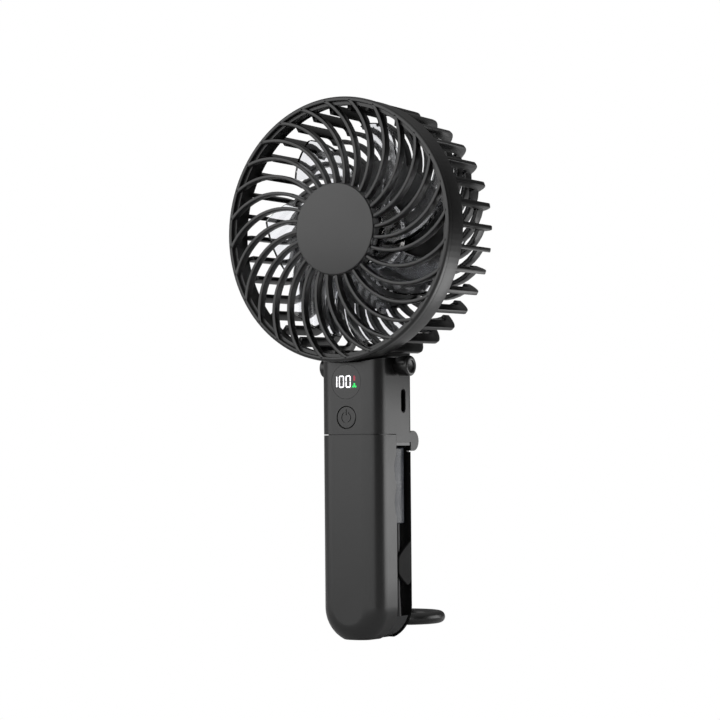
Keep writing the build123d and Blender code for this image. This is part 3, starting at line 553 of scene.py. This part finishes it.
def curved_rib(name, reach, sweep_degrees, width, depth, edge_round, steps=14):
    """One rib from an inner to an outer radius that turns about the head's axis on its way."""
    inner, outer = reach
    half = (inner + outer) / 2
    places = [(inner, 0.0)]
    for radius, share in ((half, 0.36), (outer, 1.0)):
        angle = math.radians(sweep_degrees) * share
        places.append((radius * math.cos(angle), radius * math.sin(angle)))
    (centre_x, centre_z), start, sweep = arc_through(*places)
    bpy.ops.object.select_all(action="DESELECT")
    bpy.ops.mesh.primitive_plane_add(
        size=1, location=(head_centre.x + inner, sum(depth) / 2, head_centre.z),
        rotation=(0, -start, 0))
    piece = bpy.context.active_object
    piece.name = name
    piece.scale = (width, depth[1] - depth[0], 1)
    settle(piece)
    round_corners(piece, edge_round, lambda place: True, 3)
    centre = (head_centre.x + centre_x, 0, head_centre.z + centre_z)
    return spin_section(piece, math.degrees(abs(sweep)), steps, centre, (0, math.copysign(1, sweep), 0))


# %% Ring, skirt and ribs
ring_face = 1.7 * MM
ring_depth = 2.3 * MM
ring_outer_round = 1.0 * MM
ring_inner_round = 0.25 * MM
skirt_wall = 1.2 * MM
skirt_set_back = 1.5 * MM
front_rib_count = 28
front_rib_sweep = 31.0
front_rib_width = 1.35 * MM
front_rib_depth = 3.4 * MM
front_rib_round = 0.32 * MM
seat_lap = 0.25 * MM
clear_of_cap = 0.02 * MM
cap_low, cap_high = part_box("hub_cap")
cap_radius = (cap_high.x - cap_low.x) / 2
front = grille_low.y
ring = head_section("ring", (head_radius - ring_face, head_radius), (front, front + ring_depth))
round_corners(ring, ring_outer_round, lambda place: place.x > head_radius - part_gap
              and place.y < front + part_gap, 6)
round_corners(ring, ring_inner_round, lambda place: place.x < head_radius - ring_face + part_gap)
spin_section(ring)
skirt_radius = head_radius - ring_face - part_gap
skirt = spin_section(head_section("skirt", (skirt_radius - skirt_wall, skirt_radius),
                                  (front + skirt_set_back, grille_high.y)))
rib = curved_rib("rib", (cap_radius + clear_of_cap, head_radius - ring_face * 0.7), front_rib_sweep,
                 front_rib_width, (front, front + front_rib_depth), front_rib_round)
seat = head_section("seat", (2 * MM, cap_radius + seat_lap),
                    (cap_high.y + clear_of_cap, front + front_rib_depth))
round_corners(seat, 0.3 * MM, lambda place: place.x > cap_radius)
spin_section(seat, steps=96)
join("grille", [ring, skirt, seat] + copies_round_head(rib, front_rib_count), "front_grille")

# %% [markdown]
# ## The hub cap
# The cap is a thin flat disc with a soft edge, which catches a line of light and keeps it from
# looking like a cut-out. Spinning a section with one rounded corner gives that edge exactly.

# %% Spin the cap
cap_edge_round = 0.45 * MM
cap = head_section("cap", (0.0, cap_radius), (cap_low.y, cap_high.y))
round_corners(cap, cap_edge_round, lambda place: place.x > cap_radius - part_gap
              and place.y < cap_low.y + part_gap, 6)
spin_section(cap, steps=128)
join("cap", [cap], "hub_cap")

# %% [markdown]
# ## The rear cage
# The cage is the grille's deep partner: a smooth collar behind the ring, 36 upright ribs that run
# back and hook round a wide curve, 36 swept ribs that carry on across the back, and a closed disc
# that holds the motor. One L-shaped section makes both a rib, when it is extruded, and the closed
# panel over the neck, when it is spun.

# %% The L-shaped section
cage_back = cage_high.y
cage_taper = 0.8 * MM
cage_radius = head_radius - cage_taper
back_rib_depth = 4.5 * MM
side_rib_reach = 3.9 * MM
hook_reach = 3.0 * MM
rib_lap = 0.5 * MM
seam = 0.3 * MM
collar_depth = 8.0 * MM
collar_low = grille_low.y + ring_depth + seam
collar_high = collar_low + collar_depth
inner_round = 1.8 * MM


def cage_section(name, reach, depth, sunk, corner_round):
    """The cage's wall seen in section: along the side, round the corner and in over the back."""
    outside, back = cage_radius - sunk, cage_back - sunk
    piece = head_section(name, (cage_radius - reach, outside), (cage_back - depth, back))
    pick(piece, "EDGE", lambda place: place.y < cage_back - depth + touch)
    bpy.ops.mesh.extrude_region_move(TRANSFORM_OT_translate={
        "value": (rib_lap, collar_high - rib_lap - (cage_back - depth), 0)})
    pick(piece, "EDGE", lambda place: place.x < cage_radius - reach + touch
         and place.y > cage_back - depth + touch)
    bpy.ops.mesh.extrude_region_move(TRANSFORM_OT_translate={
        "value": (reach - side_rib_reach - hook_reach, 0, 0)})
    pick(piece, "FACE", lambda place: True)
    bpy.ops.mesh.dissolve_limited(angle_limit=math.radians(1))
    bpy.ops.object.mode_set(mode="OBJECT")
    round_corners(piece, corner_round, lambda place: place.x > outside - touch
                  and place.y > back - touch, 10)
    round_corners(piece, min(inner_round, corner_round / 3), lambda place: abs(
        place.x - (cage_radius - reach)) + abs(place.y - (cage_back - depth)) < 2 * touch, 4)
    return piece


# %% Collar, ribs and neck panel
rear_rib_count = 36
rear_rib_sweep = 24.0
rib_width = 1.7 * MM
rib_round = 0.3 * MM
hook_round = 5.5 * MM
side_rib = cage_section("side_rib", side_rib_reach, back_rib_depth, 0.0, hook_round)
pick(side_rib, "FACE", lambda place: True)
bpy.ops.transform.translate(value=(0, 0, -rib_width / 2))
bpy.ops.mesh.extrude_region_move(TRANSFORM_OT_translate={"value": (0, 0, rib_width)})
close_up(side_rib)
round_edges(side_rib, rib_round)
panel_wall = 2.1 * MM
panel_sunk = 0.4 * MM
panel_angle = 26.0
neck_panel = cage_section("neck_panel", panel_wall, panel_wall, panel_sunk, hook_round - panel_sunk)
spin_section(neck_panel, panel_angle, 20)
to_centre = Matrix.Translation(head_centre)
to_bottom = Matrix.Rotation(math.radians(90 + panel_angle / 2), 4, "Y")
neck_panel.data.transform(to_centre @ to_bottom @ to_centre.inverted())
print("panel lowest in mm:", round(min(v.co.z for v in neck_panel.data.vertices) / MM, 1))
collar = head_section("collar", (skirt_radius + part_gap, head_radius - 2 * part_gap),
                      (collar_low, collar_high))
round_corners(collar, 0.35 * MM, lambda place: place.x > head_radius - 5 * part_gap)
spin_section(collar)
hub_reach = 29.0 * MM
hub_lap = 1.0 * MM
hook_lap = 1.2 * MM
back_rib_reach = (hub_reach - hub_lap, cage_radius - side_rib_reach - hook_reach + hook_lap)
back_rib = curved_rib("back_rib", back_rib_reach, rear_rib_sweep, rib_width,
                      (cage_back - back_rib_depth, cage_back), rib_round, 8)
disc_round = 0.8 * MM
back_disc = head_section("back_disc", (0.0, hub_reach), (cage_back - back_rib_depth, cage_back))
round_corners(back_disc, disc_round, lambda place: place.x > hub_reach - part_gap)
spin_section(back_disc, steps=96)

# %% Screw wells, lug and assembly
screw_circle = 9.0 * MM
well_radius = 2.05 * MM
well_depth = 1.3 * MM
for angle in (math.radians(degrees) for degrees in (90, 210, 330)):
    well = head_centre + Vector((math.cos(angle), 0, math.sin(angle))) * screw_circle
    bore(back_disc, Vector((well.x, cage_back - well_depth, well.z)),
         Vector((well.x, cage_back + 1 * MM, well.z)), well_radius)
shaft_low, shaft_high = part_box("hinge_shaft")
hinge = (shaft_low + shaft_high) / 2
lug_radius = 4.6 * MM
lug_width = 17.0 * MM
lug_top = head_centre.z - cage_radius + 0.6 * MM
lug_bore_radius = 2.05 * MM
past_lug = Vector((20 * MM, 0, 0))
bpy.ops.object.select_all(action="DESELECT")
bpy.ops.mesh.primitive_cylinder_add(vertices=64, radius=lug_radius, depth=lug_width, location=hinge,
                                    rotation=(0, math.radians(90), 0))
lug = bpy.context.active_object
settle(lug)
pick(lug, "VERT", lambda place: place.z > hinge.z + 0.2 * MM)
bpy.ops.transform.resize(value=(1, 1, 0), center_override=(0, 0, lug_top))
close_up(lug)
bore(lug, hinge - past_lug, hinge + past_lug, lug_bore_radius)
join("cage", [collar, back_disc, neck_panel, lug] + copies_round_head(side_rib, rear_rib_count)
     + copies_round_head(back_rib, rear_rib_count, -rear_rib_sweep), "rear_cage")

# %% [markdown]
# ## The hinge knobs
# A knob is turned on a lathe, or moulded to look so: a thick cap with a rounded rim, a shallow
# dish in its face and a thinner neck next to the handle. A cylinder takes all of that with inset
# and extrude at its two ends.

# %% Turn the knobs
knob_neck = 1.6 * MM
knob_rim_round = 0.9 * MM
dish_rim = 1.7 * MM
dish_depth = 0.6 * MM
neck_step = 0.5 * MM


def turned_knob(name, node, side):
    """One knob, from its neck at the handle to its dished face."""
    low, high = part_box(node)
    near, far = (low.x, high.x) if side > 0 else (high.x, low.x)
    radius = (high.z - low.z) / 2
    shoulder = near + side * (knob_neck - part_gap)
    bpy.ops.object.select_all(action="DESELECT")
    bpy.ops.mesh.primitive_cylinder_add(
        vertices=64, radius=radius, depth=abs(far - shoulder),
        location=((far + shoulder) / 2, hinge.y, hinge.z),
        rotation=(0, math.radians(90), 0))
    piece = bpy.context.active_object
    settle(piece)
    pick(piece, "FACE", lambda place: abs(place.x - far) < touch)
    bpy.ops.mesh.bevel(offset=knob_rim_round, segments=6, affect="EDGES")
    pick(piece, "FACE", lambda place: abs(place.x - far) < touch)
    bpy.ops.mesh.inset(thickness=dish_rim - knob_rim_round)
    bpy.ops.mesh.extrude_region_move(TRANSFORM_OT_translate={"value": (-side * dish_depth, 0, 0)})
    pick(piece, "FACE", lambda place: abs(place.x - shoulder) < touch)
    bpy.ops.mesh.inset(thickness=neck_step)
    bpy.ops.mesh.extrude_region_move(TRANSFORM_OT_translate={"value": (near - shoulder, 0, 0)})
    close_up(piece)
    round_edges(piece, 0.15 * MM)
    return join(name, [piece], node)


turned_knob("knob_right", "hinge_knob_right", 1)
turned_knob("knob_left", "hinge_knob_left", -1)

# %% [markdown]
# ## The plug's wavy grip
# The lead's plug sits in the side channel, and its clear grip has two swells for a fingertip. A
# grid gives the front edge enough points to follow the swells, and extrude gives it thickness.

# %% Shape the grip
grip_low, grip_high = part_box("plug_shell")
grip_length = grip_high.z - grip_low.z
swell = 1.2 * MM
swell_half = 5.4 * MM
swells = [grip_low.z + grip_length * share for share in (0.28, 0.72)]
bpy.ops.object.select_all(action="DESELECT")
bpy.ops.mesh.primitive_grid_add(
    x_subdivisions=64, y_subdivisions=1, size=1, rotation=(0, math.radians(90), 0),
    location=(grip_low.x, (grip_low.y + grip_high.y) / 2, (grip_low.z + grip_high.z) / 2))
grip = bpy.context.active_object
grip.scale = (grip_length, grip_high.y - grip_low.y, 1)
settle(grip)
for vertex in grip.data.vertices:
    if vertex.co.y < grip_low.y + part_gap:
        nearest = min(abs(vertex.co.z - place) for place in swells)
        vertex.co.y += swell * (1 - math.sqrt(max(0.0, 1 - (nearest / swell_half) ** 2)))
pick(grip, "FACE", lambda place: True)
bpy.ops.mesh.extrude_region_move(TRANSFORM_OT_translate={"value": (grip_high.x - grip_low.x, 0, 0)})
close_up(grip)
round_edges(grip, 0.45 * MM, 3)
join("plug_grip", [grip], "plug_shell")

# %% [markdown]
# ## A quieter finish and a painted shade
# The tab that swings the leg out has a coarser grain than the shells, for the fingernail that
# lifts it, so it mirrors little. The charging port's nickel sleeve is given a dark grey that is
# painted shade, standing for the shadow inside its slot, which keeps the slot from shining.

# %% Dress the tab and the port
abs_matt = moulded_abs("coarse_grained_black_abs", "#0c0c0c", 0.55, 0.5, 0.01)
abs_matt.node_tree.nodes["Principled BSDF"].inputs["Specular IOR Level"].default_value = 0.12
# painted shade: the port's nickel is coloured dark grey to stand for the shadow inside its slot
port_nickel_painted_shade = turned_metal("nickel_painted_slot_shade", "#2c2c2e", 0.35, 0.3)
for node, finish in (("leg_tab", abs_matt), ("usb_port", port_nickel_painted_shade)):
    nodes[node].data.materials.clear()
    nodes[node].data.materials.append(finish)
